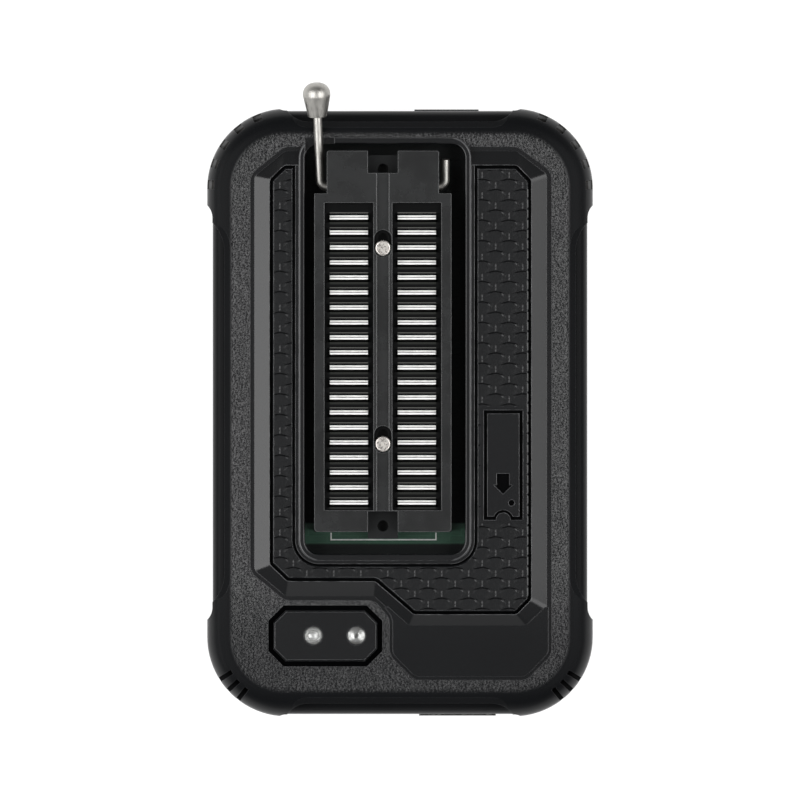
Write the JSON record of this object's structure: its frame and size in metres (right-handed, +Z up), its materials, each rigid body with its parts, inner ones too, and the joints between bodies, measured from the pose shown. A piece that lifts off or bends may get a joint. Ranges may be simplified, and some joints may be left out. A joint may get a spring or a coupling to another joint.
{
  "type": "usb microcontroller programmer",
  "caption": "Hand-sized black programmer case with corner bumpers round a lever-operated zero-force chip socket, lamp plate, USB socket and in-circuit header.",
  "frame": {"origin": "middle of the case in plan, on the plane that the rubber feet stand on", "axes": "+Y towards the lever end, +X to the right with the socket facing up, +Z up"},
  "size_m": [0.0654, 0.1074, 0.0279],
  "materials": {
    "case_plastic": "fine leather grain, smooth bevels",
    "lamp_plate": "smooth satin",
    "led_lens": "clear moulded dome",
    "tinned_metal": "tinned",
    "socket_plastic": "moulded, slightly worn",
    "rivet_metal": "dull nickel",
    "contact_metal": "bright plated spring",
    "lever_steel": "bright nickel",
    "board_green": "solder mask",
    "usb_metal": "nickel sheet",
    "usb_plastic": "black moulding",
    "gold_contact": "gold flash",
    "header_plastic": "black moulding",
    "chip_plastic": "moulded epoxy",
    "crystal_can": "satin can",
    "can_aluminium": "can without a print",
    "ferrite": "ferrite",
    "screw_steel": "zinc plated",
    "foot_rubber": "soft rubber"
  },
  "bodies": {
    "case": {"top_shell": "case_plastic", "bottom_shell": "case_plastic", "led_plate": "lamp_plate", "power_led": "led_lens", "run_led": "led_lens", "led_legs": "tinned_metal", "zif_base": "socket_plastic", "zif_rivets": "rivet_metal", "zif_contacts_left": "contact_metal", "zif_contacts_right": "contact_metal", "main_board": "board_green", "usb_shell": "usb_metal", "usb_insulator": "usb_plastic", "usb_contacts": "gold_contact", "isp_shroud": "header_plastic", "isp_pins": "gold_contact", "control_chip": "chip_plastic", "control_chip_leads": "tinned_metal", "driver_chips": "chip_plastic", "driver_chip_leads": "tinned_metal", "crystal": "crystal_can", "capacitors": "can_aluminium", "power_inductor": "ferrite", "case_screws": "screw_steel", "rubber_feet": "foot_rubber"},
    "cover": {"zif_cover": "socket_plastic"},
    "lever": {"zif_lever": "lever_steel", "lever_knob": "lever_steel"}
  },
  "joints": [
    {"name": "lever_hinge", "type": "hinge", "parent": "case", "child": "lever", "pos_m": [-0.0029, 0.0382, 0.0222], "axis": [1, 0, 0], "range_deg": [0, 75]},
    {"name": "cover_slide", "type": "slide", "parent": "case", "child": "cover", "axis": [0, -1, 0], "range_m": [0, 0.0016]}
  ],
  "couplings": [
    {"joint": "cover_slide", "follows": "lever_hinge", "m_per_rad": 0.0012092}
  ]
}
